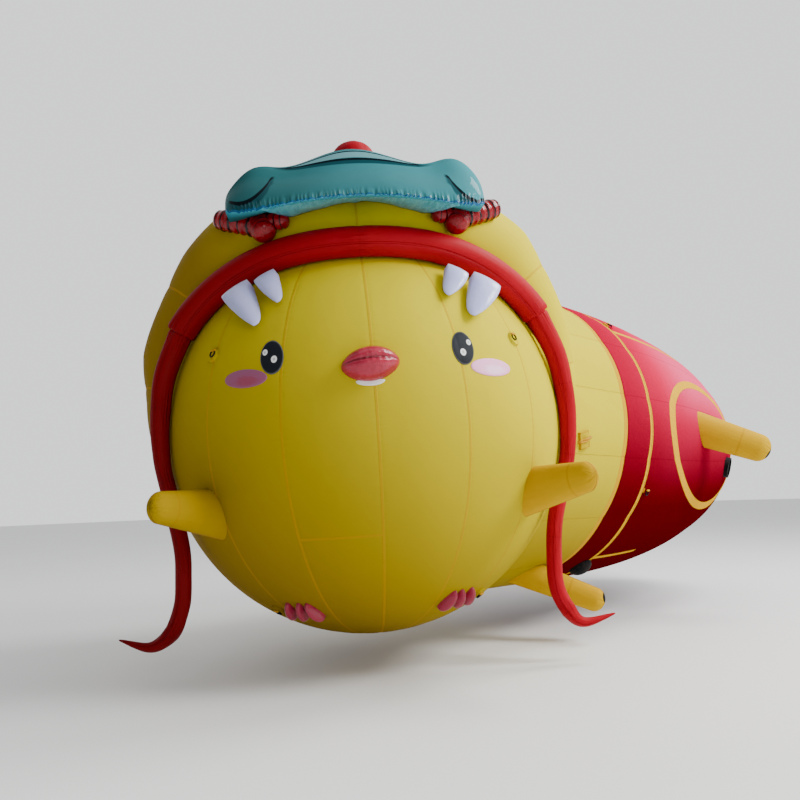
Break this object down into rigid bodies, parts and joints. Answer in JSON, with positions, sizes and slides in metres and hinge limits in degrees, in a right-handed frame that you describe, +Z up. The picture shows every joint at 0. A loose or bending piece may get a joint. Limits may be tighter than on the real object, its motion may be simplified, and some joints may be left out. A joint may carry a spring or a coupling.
{
  "type": "air-filled parade figure of a round chick in a dragon hood",
  "caption": "Large air-filled cloth figure: a round yellow chick looks out of a dragon hood with snout, fangs and whiskers, on a long red body with stub legs.",
  "frame": {"origin": "centre of the round ball that forms the head", "axes": "+Y along the long body, from the ball to the tail; +Z up; the face looks along -Y turned 50 degrees towards +X"},
  "size_m": [4.495, 9.0472, 4.5473],
  "materials": {
    "yellow_cloth": "woven coated nylon, satin",
    "leg_cloth": "woven coated nylon, satin",
    "red_cloth": "woven coated nylon, satin",
    "body_red_cloth": "woven coated nylon, satin",
    "snout_sheet": "glossy welded sheet",
    "curl_sheet": "glossy welded sheet",
    "beak_sheet": "glossy welded sheet",
    "toe_sheet": "glossy welded sheet",
    "fang_sheet": "glossy welded sheet",
    "inlet_rubber": "matt",
    "valve_rubber": "satin"
  },
  "bodies": {
    "root": {"ball_envelope": "yellow_cloth", "hood_envelope": "yellow_cloth", "lip_tube": "red_cloth", "whisker_left": "red_cloth", "whisker_right": "red_cloth", "fang_left_big": "fang_sheet", "fang_left_small": "fang_sheet", "fang_right_big": "fang_sheet", "fang_right_small": "fang_sheet", "snout": "snout_sheet", "crown_knob": "red_cloth", "curl_left_outer": "curl_sheet", "curl_left_middle": "curl_sheet", "curl_left_inner": "curl_sheet", "curl_right_outer": "curl_sheet", "curl_right_middle": "curl_sheet", "curl_right_inner": "curl_sheet", "beak": "beak_sheet", "toe_left_1": "toe_sheet", "toe_left_2": "toe_sheet", "toe_left_3": "toe_sheet", "toe_right_1": "toe_sheet", "toe_right_2": "toe_sheet", "toe_right_3": "toe_sheet", "wing_left": "leg_cloth", "wing_right": "leg_cloth", "body_yellow_section": "yellow_cloth", "body_red_band": "body_red_cloth", "body_red_rear": "body_red_cloth", "inlet_cap": "inlet_rubber", "hind_leg_left": "leg_cloth", "hind_leg_right": "leg_cloth", "front_leg_left": "leg_cloth", "front_leg_right": "leg_cloth", "belly_valve": "valve_rubber", "flank_tab": "yellow_cloth", "ball_tie_upper_left": "yellow_cloth", "ball_tie_upper_right": "yellow_cloth", "ball_tie_lower_left": "yellow_cloth", "ball_tie_lower_right": "yellow_cloth", "body_tie_top_left": "body_red_cloth", "body_tie_top_right": "body_red_cloth", "body_tie_flank_left": "body_red_cloth", "body_tie_flank_right": "body_red_cloth"}
  },
  "joints": []
}
